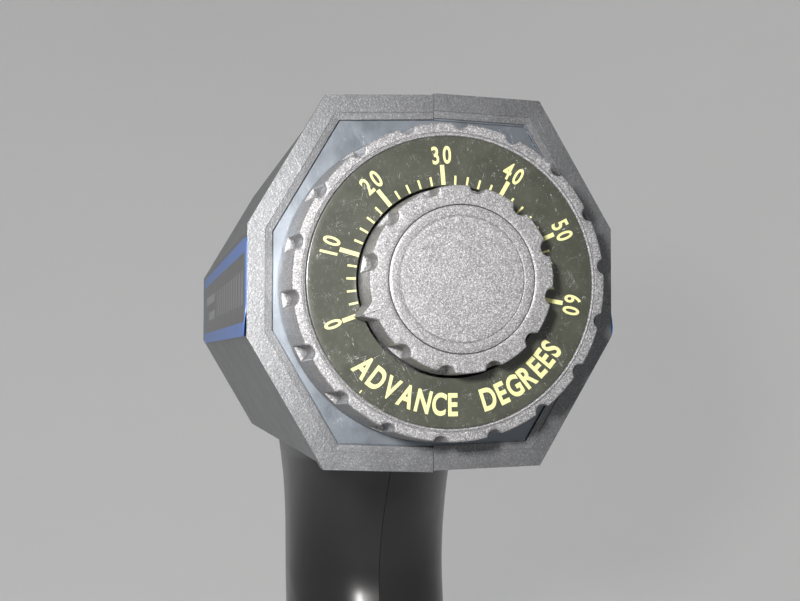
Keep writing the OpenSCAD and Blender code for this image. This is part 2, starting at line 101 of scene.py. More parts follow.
def baked(obj):
    """The mesh of obj with its modifiers applied."""
    graph = bpy.context.evaluated_depsgraph_get()
    graph.update()
    return bpy.data.meshes.new_from_object(obj.evaluated_get(graph))


def refine(node, look, body, width=0.35, segments=2, angle=28, move=None, flat=0.4, cut=None):
    """The CAD shape with its edges rounded: its faces are merged, then bevelled."""
    source = NODES[node].data
    bm = bmesh.new()
    verts = [bm.verts.new(v.co) for v in source.vertices]
    for p in source.polygons:
        try:
            bm.faces.new([verts[i] for i in p.vertices])
        except ValueError:
            pass
    bmesh.ops.remove_doubles(bm, verts=bm.verts, dist=3e-6)
    bmesh.ops.dissolve_limit(bm, angle_limit=math.radians(flat), verts=bm.verts, edges=bm.edges)
    if cut:
        cut(bm)
    if move:
        for v in bm.verts:
            v.co = move(v.co)
    mesh = bpy.data.meshes.new(node + "_raw")
    bm.to_mesh(mesh)
    bm.free()
    if width:
        raw = bpy.data.objects.new(node + "_raw", mesh)
        bpy.context.scene.collection.objects.link(raw)
        bevel = raw.modifiers.new("round", "BEVEL")
        bevel.width = width * MM
        bevel.segments = segments
        bevel.limit_method = "ANGLE"
        bevel.angle_limit = math.radians(angle)
        bevel.use_clamp_overlap = True
        bevel.miter_outer = "MITER_ARC"
        mesh = baked(raw)
        bpy.data.objects.remove(raw)
    return finish_piece(node + "_piece", mesh, look, body, (node,), 32)


# ---------------------------------------------------------------- materials

class Look:
    """A procedural material: noise in the piece's own space tints it, roughens it and gives it relief."""

    def __init__(self, name, color, rough=0.5, metal=0.0, spec=0.5):
        self.mat = bpy.data.materials.new(name)
        self.mat.use_nodes = True
        self.tree = self.mat.node_tree
        self.skin = self.tree.nodes["Principled BSDF"]
        self.color = (*color, 1.0)
        self.rough = rough
        self.normal = None
        self.skin.inputs["Metallic"].default_value = metal
        self.skin.inputs["Specular IOR Level"].default_value = spec
        self.space = self.add("ShaderNodeTexCoord").outputs["Object"]

    def add(self, kind, inputs=None, **props):
        node = self.tree.nodes.new(kind)
        for key, value in props.items():
            setattr(node, key, value)
        for key, value in (inputs or {}).items():
            if isinstance(value, bpy.types.NodeSocket):
                self.tree.links.new(value, node.inputs[key])
            else:
                node.inputs[key].default_value = value
        return node

    def turned(self, stretch, turn, shift):
        mapping = self.add("ShaderNodeMapping", {"Vector": self.space, "Scale": stretch,
            "Rotation": turn, "Location": (shift, shift * 0.7, -shift)}, vector_type="TEXTURE")
        return mapping.outputs["Vector"]

    def grain(self, size, detail=2.0, rough=0.5, stretch=(1, 1, 1), turn=(0, 0, 0), shift=0.0):
        """Noise with features of a size in millimetres."""
        n = self.add("ShaderNodeTexNoise", {"Vector": self.turned(stretch, turn, shift),
            "Scale": 1 / (size * MM), "Detail": detail, "Roughness": rough})
        return n.outputs["Fac"]

    def cells(self, size, shift=0.0, output="Distance"):
        """Cells of a size in millimetres."""
        n = self.add("ShaderNodeTexVoronoi", {"Vector": self.turned((1, 1, 1), (0, 0, 0), shift),
            "Scale": 1 / (size * MM)})
        return n.outputs[output]

    def span(self, value, low, high, a=0.0, b=1.0):
        n = self.add("ShaderNodeMapRange", {"Value": value, "From Min": low, "From Max": high,
            "To Min": a, "To Max": b})
        return n.outputs["Result"]

    def math(self, op, a, b):
        return self.add("ShaderNodeMath", {0: a, 1: b}, operation=op).outputs["Value"]

    def along(self, axis):
        n = self.add("ShaderNodeSeparateXYZ", {"Vector": self.space})
        return n.outputs[axis]

    def tint(self, amount, color):
        n = self.add("ShaderNodeMix", {0: amount, 6: self.color, 7: (*color, 1.0)}, data_type="RGBA")
        self.color = n.outputs[2]
        return self

    def roughen(self, amount, rough):
        n = self.add("ShaderNodeMix", {0: amount, 2: self.rough, 3: rough}, data_type="FLOAT")
        self.rough = n.outputs[0]
        return self

    def metallic(self, amount):
        self.tree.links.new(amount, self.skin.inputs["Metallic"])
        return self

    def relief(self, height, depth, strength=1.0):
        inputs = {"Height": height, "Distance": depth * MM, "Strength": strength}
        if self.normal:
            inputs["Normal"] = self.normal
        self.normal = self.add("ShaderNodeBump", inputs).outputs["Normal"]
        return self

    def scratches(self, length, width, degrees, share=0.5, shift=0.0):
        """Fine lines of about one direction across the back face, broken into pieces."""
        turn = (0.0, math.radians(degrees), 0.0)
        stretch = (length / width * 0.12, 1.0, 1.0)
        n = self.grain(width * 8, 1.0, 0.4, stretch, turn, shift)
        line = self.span(self.math("ABSOLUTE", self.math("SUBTRACT", n, 0.5), 0.0), 0.0, 0.006, 1.0, 0.0)
        pieces = self.grain(length * 0.5, 2.0, 0.6, shift=shift + 3)
        patch = self.span(pieces, 0.58 - share * 0.2, 0.66 - share * 0.2)
        return self.math("MULTIPLY", line, patch)

    def done(self, **inputs):
        """Wires the colour, roughness and relief gathered so far, and sets the given shader inputs."""
        for key, value in inputs.items():
            self.skin.inputs[key.replace("_", " ")].default_value = value
        for key, value in (("Base Color", self.color), ("Roughness", self.rough), ("Normal", self.normal)):
            if isinstance(value, bpy.types.NodeSocket):
                self.tree.links.new(value, self.skin.inputs[key])
            elif value is not None:
                self.skin.inputs[key].default_value = value
        return self.mat


def moulded(name, color, rough=0.45, spec=0.5, size=0.5, depth=0.01):
    """Moulded plastic: soft mottling, faint handling marks and a fine pebbled skin."""
    look = Look(name, color, rough, 0.0, spec)
    dark = tuple(c * 0.72 for c in color)
    light = tuple(min(c * 1.35 + 0.01, 1.0) for c in color)
    look.tint(look.span(look.grain(14, 4, 0.6), 0.4, 0.7, 0.0, 0.6), dark)
    look.tint(look.span(look.grain(size * 1.3, 2), 0.45, 0.75, 0.0, 0.5), light)
    look.tint(look.scratches(20, 0.12, 24, 0.3), light)
    look.roughen(look.span(look.grain(6, 3), 0.35, 0.7), min(rough * 1.3, 1.0))
    look.relief(look.grain(size, 2), depth)
    look.relief(look.grain(9, 2), 0.05)
    return look.done()


def metal_look(name, color, rough=0.3, size=0.3, brushed=False):
    """Bare metal with dull patches and fine grain, drawn out along the piece where brushed."""
    look = Look(name, color, rough, 1.0)
    look.tint(look.span(look.grain(5, 4, 0.65), 0.4, 0.75, 0.0, 0.5), tuple(c * 0.6 for c in color))
    look.roughen(look.span(look.grain(2.5, 3), 0.35, 0.7), min(rough * 1.6, 1.0))
    stretch = (1, 12, 1) if brushed else (1, 1, 1)
    look.relief(look.grain(size, 2, 0.5, stretch), 0.01)
    return look.done()


# Heights in metres between which the polished handle turns into the sparked body
HANDLE_TOP = (0.1085, 0.1112)


def housing_look(name, seed):
    """Dark moulding with a silvery skin: sparked texture on the body, with glints painted into its colour
    as light and dark specks, and polished black on the handle.
    """
    look = Look(name, (0.165, 0.168, 0.175), 0.41, 0.0, 0.5)
    up = look.along("Z")
    body = look.span(up, *HANDLE_TOP)
    look.tint(look.span(look.grain(16, 4, 0.6, shift=seed), 0.4, 0.7, 0.0, 0.45), (0.125, 0.126, 0.130))
    # Painted glints and painted shade: light specks, and the dull cells as dark specks among them, stand
    # for a hard light glittering on the sparked skin.
    painted_glint_cells = look.cells(0.24, seed, "Color")
    look.tint(look.span(painted_glint_cells, 0.62, 0.95, 0.0, 0.55), (0.34, 0.345, 0.35))
    dull = look.cells(0.24, seed, "Color")
    look.tint(look.span(dull, 0.35, 0.05, 0.0, 0.5), (0.08, 0.08, 0.082))
    look.tint(look.scratches(22, 0.08, 63, 0.25, seed), (0.40, 0.41, 0.42))
    handle = look.math("SUBTRACT", 1.0, body)
    look.tint(handle, (0.012, 0.0115, 0.012))
    look.metallic(look.span(body, 0.0, 1.0, 0.0, 0.85))
    look.roughen(look.span(look.grain(7, 3, shift=seed), 0.35, 0.7), 0.46)
    look.roughen(handle, 0.27)
    pebble = look.math("MULTIPLY", look.grain(0.36, 2, 0.6, shift=seed), body)
    look.relief(pebble, 0.045, 0.8)
    look.relief(look.grain(11, 2, shift=seed), 0.10)
    return look.done()


def dial_look(name, color, seed):
    """Sand-textured grey moulding of the ring, knob and cap, with the glitter of a hard light on the sand
    painted into its colour as light and dark specks.
    """
    look = Look(name, color, 0.38, 0.3, 0.6)
    mottle = look.span(look.grain(12, 3, 0.6, shift=seed), 0.4, 0.7, 0.0, 0.5)
    look.tint(mottle, tuple(c * 0.75 for c in color))
    # Painted glints and painted shade: light specks, and dark specks between them, stand for a hard light
    # glittering on the sand.
    painted_glints = look.cells(0.21, shift=seed, output="Color")
    look.tint(look.span(painted_glints, 0.55, 0.9, 0.0, 0.8), tuple(min(c * 2.3, 1.0) for c in color))
    look.tint(look.span(painted_glints, 0.4, 0.1, 0.0, 0.75), tuple(c * 0.35 for c in color))
    look.tint(look.scratches(9, 0.14, 35, 0.1, seed), (0.03, 0.028, 0.028))
    look.roughen(look.span(look.grain(5, 3, shift=seed), 0.35, 0.7), 0.48)
    look.relief(look.grain(0.24, 2, 0.6, shift=seed), 0.06, 1.0)
    return look.done()


def plate_look():
    """Smooth back plate with a bluish sheen and a few rub marks."""
    look = Look("smooth_plate", (0.180, 0.200, 0.225), 0.33, 0.85, 0.5)
    look.tint(look.span(look.grain(12, 4, 0.6), 0.4, 0.7, 0.0, 0.5), (0.140, 0.155, 0.175))
    look.tint(look.span(look.grain(1.2, 4, 0.7), 0.55, 0.75, 0.0, 0.35), (0.25, 0.26, 0.28))
    look.tint(look.scratches(14, 0.10, 70, 0.4), (0.45, 0.46, 0.48))
    look.roughen(look.span(look.grain(4, 3), 0.35, 0.7), 0.42)
    look.relief(look.grain(0.9, 3), 0.012)
    look.relief(look.grain(8, 2), 0.05)
    return look.done()


def scale_plate_look():
    """Glossy olive-black printed plate with white scratches, scuffs and dust."""
    look = Look("scale_plate", (0.036, 0.039, 0.028), 0.30, 0.0, 0.5)
    look.tint(look.span(look.grain(6, 4, 0.65), 0.42, 0.7, 0.0, 0.7), (0.060, 0.062, 0.046))
    look.tint(look.span(look.grain(0.8, 3, 0.7), 0.56, 0.8, 0.0, 0.6), (0.105, 0.110, 0.095))
    white = (0.52, 0.53, 0.50)
    for degrees, shift, share in ((62, 1, 0.2), (-20, 7, 0.05), (105, 13, 0.1)):
        look.tint(look.scratches(7, 0.07, degrees, share, shift), white)
    dust = look.span(look.cells(0.8, shift=4), 0.12, 0.06)
    where = look.span(look.grain(7, 3, shift=2), 0.52, 0.60)
    look.tint(look.math("MULTIPLY", dust, where), white)
    scuff = look.span(look.grain(0.45, 4, 0.8, (1, 1, 4), (0, 0.6, 0), 9), 0.66, 0.72)
    look.tint(look.math("MULTIPLY", scuff, look.span(look.grain(10, 2, shift=6), 0.55, 0.65)), white)
    look.roughen(look.span(look.grain(3, 3), 0.35, 0.7), 0.32)
    look.relief(look.grain(6, 2), 0.03)
    return look.done(Coat_Weight=0.4, Coat_Roughness=0.12)


def print_look(name, color, rough=0.45):
    """Printing ink with worn specks and uneven cover."""
    look = Look(name, color, rough, 0.0, 0.4)
    look.tint(look.span(look.grain(0.5, 3, 0.7), 0.55, 0.85, 0.0, 0.35), tuple(c * 0.7 for c in color))
    look.tint(look.span(look.grain(4, 3), 0.45, 0.7, 0.0, 0.25), tuple(c * 0.85 for c in color))
    look.relief(look.grain(0.4, 2), 0.01)
    return look.done()


def clear_look(name, color, rough):
    """Clear glass, slightly smeared."""
    look = Look(name, color, rough, 0.0, 0.5)
    look.roughen(look.span(look.grain(5, 3), 0.4, 0.7), rough + 0.06)
    look.relief(look.grain(9, 2), 0.03)
    return look.done(Transmission_Weight=1.0, IOR=1.49)


LOOKS = {
    "housing_left": housing_look("housing_left_skin", 0.0),
    "housing_right": housing_look("housing_right_skin", 31.0),
    "screw_steel": metal_look("screw_steel_skin", (0.42, 0.42, 0.44), 0.35),
    "label": print_look("label_blue", (0.050, 0.150, 0.480), 0.35),
    "back_plate": plate_look(),
    "dial_plastic": dial_look("dial_sand", (0.205, 0.203, 0.208), 0.0),
    "dial_plate": scale_plate_look(),
    "felt": moulded("felt_skin", (0.48, 0.42, 0.28), 0.9, 0.2, 0.25, 0.05),
    "zinc_can": metal_look("zinc_skin", (0.62, 0.62, 0.60), 0.38),
    "brass": metal_look("brass_skin", (0.72, 0.52, 0.22), 0.32),
    "shaft_steel": metal_look("shaft_skin", (0.58, 0.58, 0.60), 0.25, brushed=True),
    "trigger": moulded("trigger_skin", (0.016, 0.016, 0.017), 0.32, 0.5, 0.6, 0.012),
    "black_plastic": moulded("black_plastic_skin", (0.018, 0.018, 0.019), 0.42, 0.5, 0.45, 0.03),
    "red_plastic": moulded("red_plastic_skin", (0.45, 0.03, 0.02), 0.4),
    "rubber": moulded("rubber_skin", (0.012, 0.012, 0.012), 0.75, 0.3, 0.4, 0.02),
    "lens_glass": clear_look("lens_skin", (0.93, 0.96, 0.98), 0.02),
    "mirror": metal_look("mirror_skin", (0.86, 0.87, 0.88), 0.06, 2.0),
    "cream_plastic": moulded("cream_skin", (0.66, 0.62, 0.52), 0.5),
    "board_laminate": moulded("laminate_skin", (0.05, 0.17, 0.07), 0.35, 0.5, 0.7, 0.02),
    "ferrite": moulded("ferrite_skin", (0.055, 0.050, 0.048), 0.55, 0.4, 0.4, 0.03),
    "winding_tape": moulded("tape_skin", (0.60, 0.42, 0.09), 0.35, 0.5, 1.5, 0.04),
    "capacitor_sleeve": moulded("sleeve_skin", (0.02, 0.05, 0.17), 0.3),
    "winding_wire": metal_look("wire_skin", (0.55, 0.24, 0.09), 0.35, 0.4, True),
    "film_red": moulded("film_skin", (0.42, 0.10, 0.02), 0.35),
    "resistor_body": moulded("resistor_skin", (0.50, 0.38, 0.22), 0.5),
    "black_sleeve": moulded("black_sleeve_skin", (0.02, 0.02, 0.02), 0.5),
    "red_sleeve": moulded("red_sleeve_skin", (0.36, 0.02, 0.02), 0.45),
    "blue_sleeve": moulded("blue_sleeve_skin", (0.02, 0.07, 0.30), 0.45),
    "yellow_sleeve": moulded("yellow_sleeve_skin", (0.55, 0.42, 0.04), 0.45),
}
PRINT = print_look("print_yellow", (0.60, 0.58, 0.27))
PANEL = print_look("label_dark", (0.030, 0.030, 0.028), 0.3)
MARKS = print_look("label_marks", (0.26, 0.27, 0.27), 0.4)

# Every CAD node gets its slot's material; the pieces below then stand for the ones that show
for node in NODES.values():
    kept = node.data.materials[0].name.split(".")[0] if node.data.materials else ""
    if kept in LOOKS:
        node.data.materials[0] = LOOKS[kept]


# ---------------------------------------------------------------- dial ring and knob

class Outline:
    """The outline of a notched ring: points and outward normals, the same number at every radius."""

    def __init__(self, count, start, centre, radius, fillet, skip_first=False, pointer=None):
        self.count, self.start, self.centre, self.radius = count, start, centre, radius
        self.fillet, self.skip_first, self.pointer = fillet, skip_first, pointer

    def notch(self, outer):
        """One round notch with filleted lips, and half the angle it takes up."""
        c, rn, rc = self.centre, self.radius, self.fillet
        fu = ((outer - rc) ** 2 + c * c - (rn + rc) ** 2) / (2 * c)
        fv = math.sqrt((outer - rc) ** 2 - fu * fu)
        top = math.atan2(fv, fu)
        facing = math.atan2(-fv, c - fu)
        points = []
        for i in range(4):
            a = top + (facing - top) * i / 4
            points.append((fu + rc * math.cos(a), fv + rc * math.sin(a), math.cos(a), math.sin(a)))
        first = math.atan2(fv, fu - c)
        for i in range(13):
            a = first + (2 * math.pi - 2 * first) * i / 12
            points.append((c + rn * math.cos(a), rn * math.sin(a), -math.cos(a), -math.sin(a)))
        for i in range(1, 5):
            a = -facing + (facing - top) * i / 4
            points.append((fu + rc * math.cos(a), -fv + rc * math.sin(a), math.cos(a), math.sin(a)))
        points.reverse()
        return points, top

    def tip(self, outer):
        """The pointer in place of the first notch, with the same number of points as a notch."""
        tip_r, root = self.pointer
        a = math.radians(root)
        foot = Vector((outer * math.cos(a), outer * math.sin(a)))
        end = Vector((tip_r, 0.0))
        along = (end - foot).normalized()
        side = Vector((-along.y, along.x))
        if side.x < 0:
            side = -side
        half = []
        for i in range(10):
            p = foot.lerp(end, i / 10 * 0.985)
            half.append((p.x, p.y, side.x, side.y))
        half[0] = (foot.x, foot.y, math.cos(a), math.sin(a))
        points = [(x, -y, nx, -ny) for x, y, nx, ny in half]
        points.append((tip_r - 0.06, 0.0, 1.0, 0.0))
        points += list(reversed(half))
        return points, a

    def points(self, outer, inset=0.0, notches=1.0, pointer=1.0):
        """Points (x, z) about the dial axis.

        inset moves them in; notches and pointer say how full those are, from 0 to 1.
        """
        cut, wide = self.notch(outer)
        made = []
        step = 2 * math.pi / self.count
        gaps = 9
        for k in range(self.count):
            middle = math.radians(self.start) + k * step
            special = self.skip_first and k == 0
            part, w = self.tip(outer) if special else (cut, wide)
            full = pointer if special else notches
            for x, y, nx, ny in part:
                a = math.atan2(y, x)
                x = x * full + outer * math.cos(a) * (1 - full)
                y = y * full + outer * math.sin(a) * (1 - full)
                nx = nx * full + math.cos(a) * (1 - full)
                ny = ny * full + math.sin(a) * (1 - full)
                x, y = x - nx * inset, y - ny * inset
                c, s = math.cos(middle), math.sin(middle)
                made.append((x * c - y * s, x * s + y * c))
            meets_pointer = self.skip_first and (k + 1) % self.count == 0
            following = math.radians(self.pointer[1]) if meets_pointer else wide
            for i in range(1, gaps):
                a = middle + w + (step - w - following) * i / gaps
                made.append(((outer - inset) * math.cos(a), (outer - inset) * math.sin(a)))
        return made

    def circle(self, r, like):
        """A plain circle whose points lie in the same directions as another row's."""
        return [(x * r / math.hypot(x, y), y * r / math.hypot(x, y)) for x, y in like]


def tube(name, rows, look, body, replaces=()):
    """Joins rows of points (x, z) at their depths into one skin, and the last row to the first."""
    n = len(rows[0][0])
    verts = [place(x, depth, z) for points, depth in rows for x, z in points]
    faces = []
    for k in range(len(rows)):
        a, b = k * n, (k + 1) % len(rows) * n
        for i in range(n):
            j = (i + 1) % n
            faces.append((a + i, a + j, b + j, b + i))
    return make(name, verts, faces, look, body, replaces)


# Quarter turn in steps, for the rounded floor of a notch
BALL_STEPS = [math.pi / 2 * i / 9 for i in range(10)]
RING_FACE = -16.5
RING_OUTLINE = Outline(18, 6.3, 32.35, 1.55, 0.4)


def ring_row(depth, inset=0.0, notches=1.0):
    outer = 32.0 + (depth - RING_FACE) / 17.3
    return RING_OUTLINE.points(outer, inset, notches), depth


def ring_circle(r, depth):
    return RING_OUTLINE.circle(r, RING_OUTLINE.points(32.0)), depth


ring_rows = [ring_circle(19.25, -16.0), ring_circle(29.3, -16.0), ring_circle(29.3, -16.38),
    ring_circle(29.42, -16.55), ring_circle(29.72, -16.6), ring_circle(29.80, -16.5),
    ring_circle(29.86, -16.22), ring_circle(29.98, -16.22), ring_circle(30.04, -16.44),
    ring_circle(30.12, RING_FACE), ring_circle(30.35, RING_FACE),
    ring_row(RING_FACE, 0.38), ring_row(-16.42, 0.16), ring_row(-16.28, 0.05), ring_row(-16.05),
    *[ring_row(-5.6 + 1.6 * math.sin(a), 0.0, math.cos(a)) for a in BALL_STEPS],
    ring_row(0.0, 0.0, 0.0), ring_row(0.3, 0.12, 0.0), ring_row(0.4, 0.4, 0.0),
    ring_circle(30.8, 0.4), ring_circle(29.8, -14.2), ring_circle(21.2, -14.2), ring_circle(21.2, 0.4),
    ring_circle(14.06, 0.4), ring_circle(14.06, -7.7), ring_circle(16.2, -7.7), ring_circle(16.2, -1.5),
    ring_circle(19.25, -1.5)]
tube("dial_ring_skin", ring_rows, LOOKS["dial_plastic"], "dial", ("dial_ring",))

KNOB_FACE = -26.1
KNOB_OUTLINE = Outline(12, 200.2, 18.6, 1.7, 0.35, True, (21.2, 5.9))


def knob_row(depth, inset=0.0, notches=1.0, pointer=1.0):
    outer = 18.25 + (depth - KNOB_FACE) * 0.5 / 10.6
    return KNOB_OUTLINE.points(outer, inset, notches, pointer), depth


def knob_circle(r, depth):
    return KNOB_OUTLINE.circle(r, KNOB_OUTLINE.points(18.25, 0.0, 1.0, 0.0)), depth


knob_rows = [knob_circle(14.5, -24.6), knob_circle(14.5, -25.85), knob_circle(14.56, -26.02),
    knob_circle(14.75, KNOB_FACE), knob_circle(15.2, KNOB_FACE),
    knob_row(KNOB_FACE, 0.34), knob_row(-26.02, 0.14), knob_row(-25.88, 0.04), knob_row(-25.65),
    *[knob_row(-19.3 + 1.6 * math.sin(a), 0.0, math.cos(a)) for a in BALL_STEPS], knob_row(-17.1, 0.0, 0.0),
    knob_row(-17.1, 0.0, 0.0, 0.0), knob_row(-15.9, 0.0, 0.0, 0.0), knob_row(-15.6, 0.1, 0.0, 0.0),
    knob_row(-15.5, 0.3, 0.0, 0.0), knob_circle(16.7, -15.5), knob_circle(16.35, -22.4),
    knob_circle(6, -22.4), knob_circle(6, -15.5), knob_circle(3.02, -15.5), knob_circle(3.02, -21.25),
    knob_circle(1.6, -21.25), knob_circle(1.6, -22.7), knob_circle(3.4, -22.7), knob_circle(3.4, -24.6)]
tube("advance_knob_skin", knob_rows, LOOKS["dial_plastic"], "knob", ("advance_knob",))


def turned_piece(name, profile, look, body, replaces=(), steps=180):
    """A piece turned about the dial axis, from (radius, depth) pairs; radius 0 closes an end."""
    rows = [([(r * math.cos(2 * math.pi * i / steps), r * math.sin(2 * math.pi * i / steps))
        for i in range(steps)], depth) for r, depth in profile if r > 0]
    n = steps
    verts = [place(x, depth, z) for points, depth in rows for x, z in points]
    faces = []
    for k in range(len(rows) - 1):
        for i in range(n):
            j = (i + 1) % n
            faces.append((k * n + i, k * n + j, (k + 1) * n + j, (k + 1) * n + i))
    if profile[0][0] == 0:
        verts.append(place(0, profile[0][1], 0))
        tip = len(verts) - 1
        faces += [(tip, (i + 1) % n, i) for i in range(n)]
    if profile[-1][0] == 0:
        verts.append(place(0, profile[-1][1], 0))
        tip = len(verts) - 1
        base = (len(rows) - 1) * n
        faces += [(base + i, base + (i + 1) % n, tip) for i in range(n)]
    return make(name, verts, faces, look, body, replaces)


cap = [(0, -26.24), (11.6, -26.24), (12.12, -26.22), (12.24, -26.12), (12.28, -25.92), (12.40, -25.92),
    (12.46, -26.04), (12.58, -26.1), (13.6, -26.1), (14.2, -26.1), (14.34, -26.04), (14.4, -25.9),
    (14.4, -24.65), (0, -24.65)]
turned_piece("knob_cap_skin", cap, LOOKS["dial_plastic"], "knob", ("knob_cap",))

plate = [(19.25, -16.0), (19.25, -16.72), (19.33, -16.8), (20.5, -16.8), (28.0, -16.8), (29.0, -16.8),
    (29.16, -16.72), (29.2, -16.6), (29.2, -16.0), (19.25, -16.0)]
turned_piece("scale_plate_skin", plate, LOOKS["dial_plate"], "dial", ("dial_plate",), 240)


# ---------------------------------------------------------------- printed scale

PRINT_DEPTH = -16.83
ZERO = 200.0
PER_TEN = 35.0
TICKS_FROM, SHORT_TO, LONG_TO = 19.4, 21.25, 23.4
NUMBERS_AT, WORDS_AT = 25.4, 24.5
marks_v, marks_f = [], []


def tick(r0, r1, width, degrees):
    """A thin bar from one radius to another at an angle."""
    base = len(marks_v)
    a = math.radians(degrees)
    out = Vector((math.cos(a), math.sin(a)))
    side = Vector((-out.y, out.x)) * width / 2
    for depth in (PRINT_DEPTH, PRINT_DEPTH + 0.03):
        for r, s in ((r0, -1), (r1, -1), (r1, 1), (r0, 1)):
            p = out * r + side * s
            marks_v.append(place(p.x, depth, p.y))
    b = base
    marks_f.extend([(b, b + 1, b + 2, b + 3), (b + 7, b + 6, b + 5, b + 4), (b, b + 4, b + 5, b + 1),
        (b + 1, b + 5, b + 6, b + 2), (b + 2, b + 6, b + 7, b + 3), (b + 3, b + 7, b + 4, b)])


def glyph(text, bold):
    """One character's points, centred and one unit high, its faces and its width."""
    curve = bpy.data.curves.new("glyph", "FONT")
    curve.body = text
    curve.size = 1.0
    curve.resolution_u = 6
    curve.offset = bold
    obj = bpy.data.objects.new("glyph", curve)
    bpy.context.scene.collection.objects.link(obj)
    mesh = baked(obj)
    bpy.data.objects.remove(obj)
    xs = [v.co.x for v in mesh.vertices]
    ys = [v.co.y for v in mesh.vertices]
    high = max(ys) - min(ys)
    mid_x = (max(xs) + min(xs)) / 2
    mid_y = (max(ys) + min(ys)) / 2
    points = [((x - mid_x) / high, (y - mid_y) / high) for x, y in zip(xs, ys)]
    faces = [tuple(f.vertices) for f in mesh.polygons]
    bpy.data.meshes.remove(mesh)
    return points, faces, (max(xs) - min(xs)) / high


def word(text, r, first, last, height, outward, wide, bold):
    """Characters laid around the plate from one angle to another, with even gaps between them."""
    shapes = [glyph(ch, bold) for ch in text]
    widths = [shape[2] * height * wide for shape in shapes]
    count = max(len(text) - 1, 1)
    gap = (math.radians(abs(last - first)) * r - sum(widths) + (widths[0] + widths[-1]) / 2) / count
    way = -1 if outward else 1
    run = 0.0
    for k, (points, faces, _) in enumerate(shapes):
        if k:
            run += (widths[k - 1] + widths[k]) / 2 + gap
        a = math.radians(first) + way * run / r
        out = Vector((math.cos(a), math.sin(a)))
        up = out * (1 if outward else -1)
        right = Vector((up.y, -up.x))
        base = len(marks_v)
        for x, y in points:
            p = out * r + right * (x * height * wide) + up * (y * height)
            marks_v.append(place(p.x, PRINT_DEPTH, p.y))
        marks_f.extend(tuple(base + i for i in face) for face in faces)


for unit in range(0, 61, 2):
    at = ZERO - unit * PER_TEN / 10
    if unit % 10:
        tick(TICKS_FROM, SHORT_TO, 0.42, at)
    else:
        tick(TICKS_FROM, LONG_TO, 0.86, at)
for tens in range(0, 7):
    at = ZERO - tens * PER_TEN
    half = 2.7 if tens else 0.0
    word(str(tens * 10), NUMBERS_AT, at + half, at - half, 3.6, True, 0.72, 0.022)
word("ADVANCE", WORDS_AT, 224.0, 270.6, 4.6, False, 0.70, 0.03)
word("DEGREES", WORDS_AT, 288.0, 327.2, 4.6, False, 0.72, 0.03)
tick(28.2, 28.9, 0.25, 230)
make("scale_print", marks_v, marks_f, PRINT, "dial", sharp=20)


# ---------------------------------------------------------------- housing and the pieces that show

def half_shift(co):
    """The right half sits a little high at the back, as the two mouldings don't quite meet."""
    lift = 0.35 * MM * (1 - smooth((co.y / MM - RIM) / 30))
    return Vector((co.x, co.y, co.z + lift))


refine("left_housing", LOOKS["housing_left"], "housing", 0.45, 3)
refine("right_housing", LOOKS["housing_right"], "housing", 0.45, 3, move=half_shift)


def plate_groove(bm):
    """A fine groove around the face of the back plate, just inside the ledge of the rim."""
    face_depth = 1.15
    top = [f for f in bm.faces if f.normal.y < -0.99
        and abs(f.calc_center_median().y / MM - RIM - face_depth) < 0.1]
    for thickness, depth in ((2.12, 0.0), (0.03, -0.55), (0.24, 0.0), (0.03, 0.55)):
        bmesh.ops.inset_region(bm, faces=top, thickness=thickness * MM, depth=depth * MM,
            use_even_offset=True)


refine("back_plate", LOOKS["back_plate"], "housing", 0.0, cut=plate_groove)
refine("housing_screws", LOOKS["screw_steel"], "housing", 0.25)
refine("nose_bezel", LOOKS["black_plastic"], "housing", 0.4, 3)
refine("lens", LOOKS["lens_glass"], "housing", 0.3, 2, 40)
refine("lens_gasket", LOOKS["rubber"], "housing", 0.2)
refine("trigger", LOOKS["trigger"], "trigger", 0.8, 4)
spring = refine("trigger_spring", LOOKS["shaft_steel"], "housing", 0.0, flat=0.01)
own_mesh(spring)
refine("lead_socket", LOOKS["black_plastic"], "housing", 0.4, 3)
refine("contact_block", LOOKS["cream_plastic"], "housing", 0.2)
refine("socket_contacts", LOOKS["brass"], "housing", 0.1)


